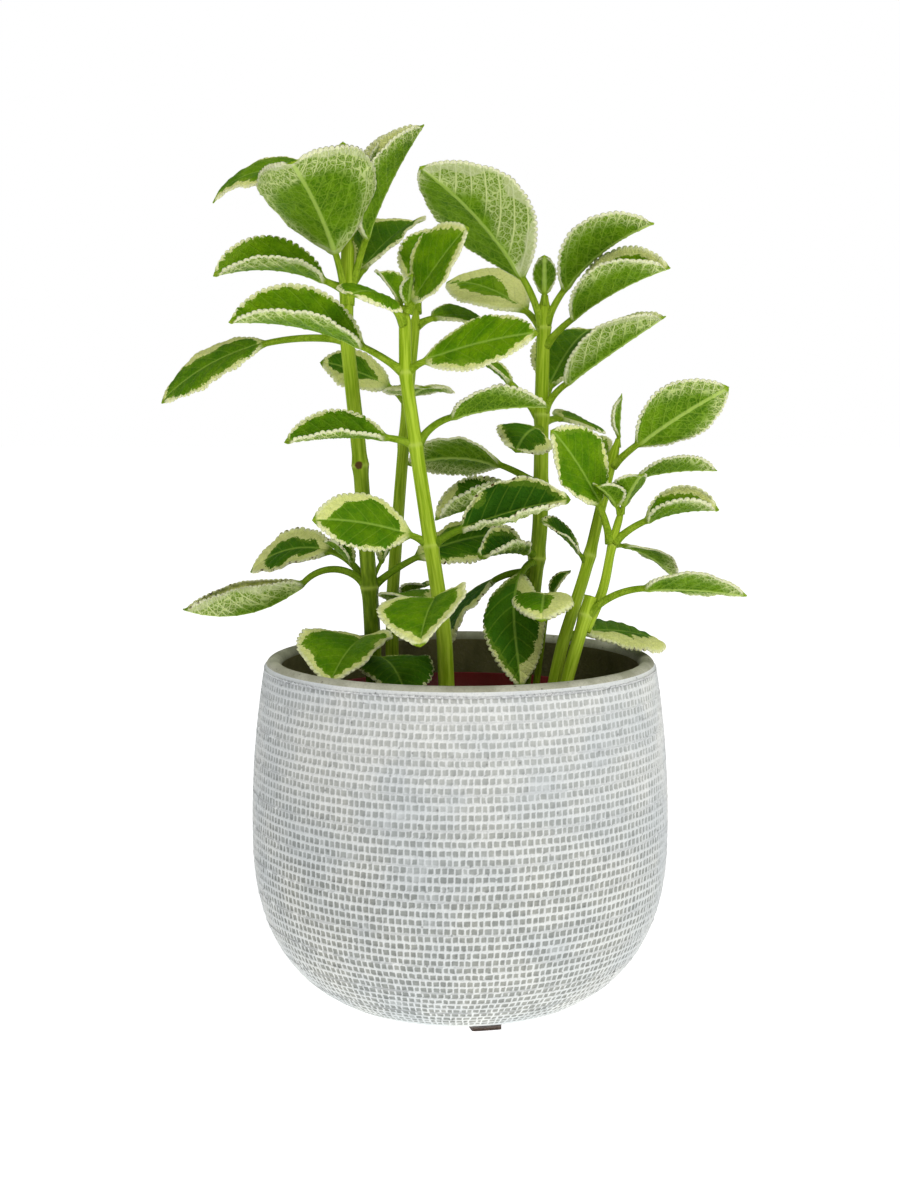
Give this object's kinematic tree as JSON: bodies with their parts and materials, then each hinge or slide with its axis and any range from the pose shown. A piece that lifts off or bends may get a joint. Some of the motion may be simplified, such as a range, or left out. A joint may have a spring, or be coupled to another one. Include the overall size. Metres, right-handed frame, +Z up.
{
  "type": "potted mint plant",
  "caption": "Leafy variegated mint in a loose nursery pot, standing in a rounded cement planter with a dimpled outside.",
  "frame": {"origin": "middle of the planter's flat base, on the ground", "axes": "+Z up along the planter's axis, +X to the plant's right, -Y to its front"},
  "size_m": [0.2182, 0.16, 0.3297],
  "materials": {
    "cement": "matte cement, white-washed over grey, rows of small pressed dimples",
    "felt": "dense brown felt",
    "nursery_plastic": "thin moulded polypropylene, satin",
    "soil": "moist peat potting mix, crumbly",
    "shoot": "soft fleshy leaves with a felt of fine hairs, green with an uneven cream margin, on smooth yellow-green stems"
  },
  "bodies": {
    "root": {"planter": "cement", "felt_pad_1": "felt", "felt_pad_2": "felt", "felt_pad_3": "felt", "nursery_pot": "nursery_plastic", "soil": "soil", "shoot_a": "shoot", "shoot_b": "shoot", "shoot_c": "shoot", "shoot_d": "shoot", "shoot_e": "shoot", "shoot_f": "shoot", "shoot_g": "shoot"}
  },
  "joints": []
}
